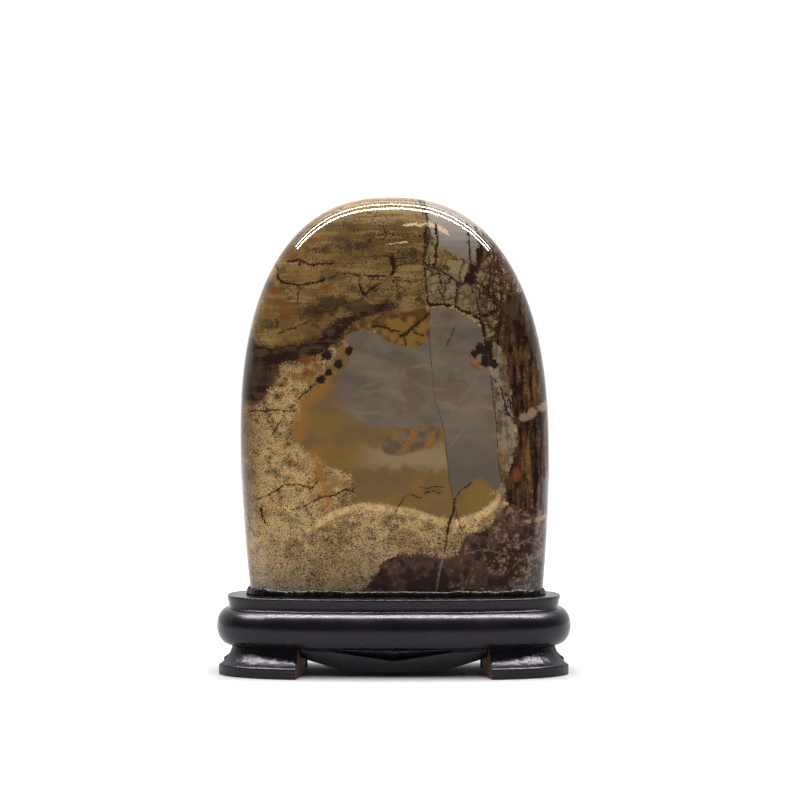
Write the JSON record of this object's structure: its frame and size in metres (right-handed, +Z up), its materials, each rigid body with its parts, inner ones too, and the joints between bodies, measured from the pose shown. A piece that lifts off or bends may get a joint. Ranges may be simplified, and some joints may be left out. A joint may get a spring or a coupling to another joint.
{
  "type": "scholars rock on stand",
  "caption": "Polished upright picture stone, arched at the top, set in the socket of a black lacquered wooden stand with a moulded body, corner feet and carved aprons.",
  "frame": {"origin": "on the floor, under the middle of the stand", "axes": "+Z up, +X to the right and -Y out of the picture face, as seen from in front"},
  "size_m": [0.1764, 0.0764, 0.2365],
  "materials": {
    "polished_stone": "high polish, figured in tan, gold, grey and brown",
    "setting_lacquer": "uneven glossy dark brown bead",
    "black_lacquer": "black lacquer, semi-gloss, hand carved"
  },
  "bodies": {
    "root": {"stone": "polished_stone", "setting_bead": "setting_lacquer", "stand_body": "black_lacquer", "foot_front_left": "black_lacquer", "foot_front_right": "black_lacquer", "foot_back_left": "black_lacquer", "foot_back_right": "black_lacquer", "apron_front": "black_lacquer", "apron_back": "black_lacquer"}
  },
  "joints": []
}
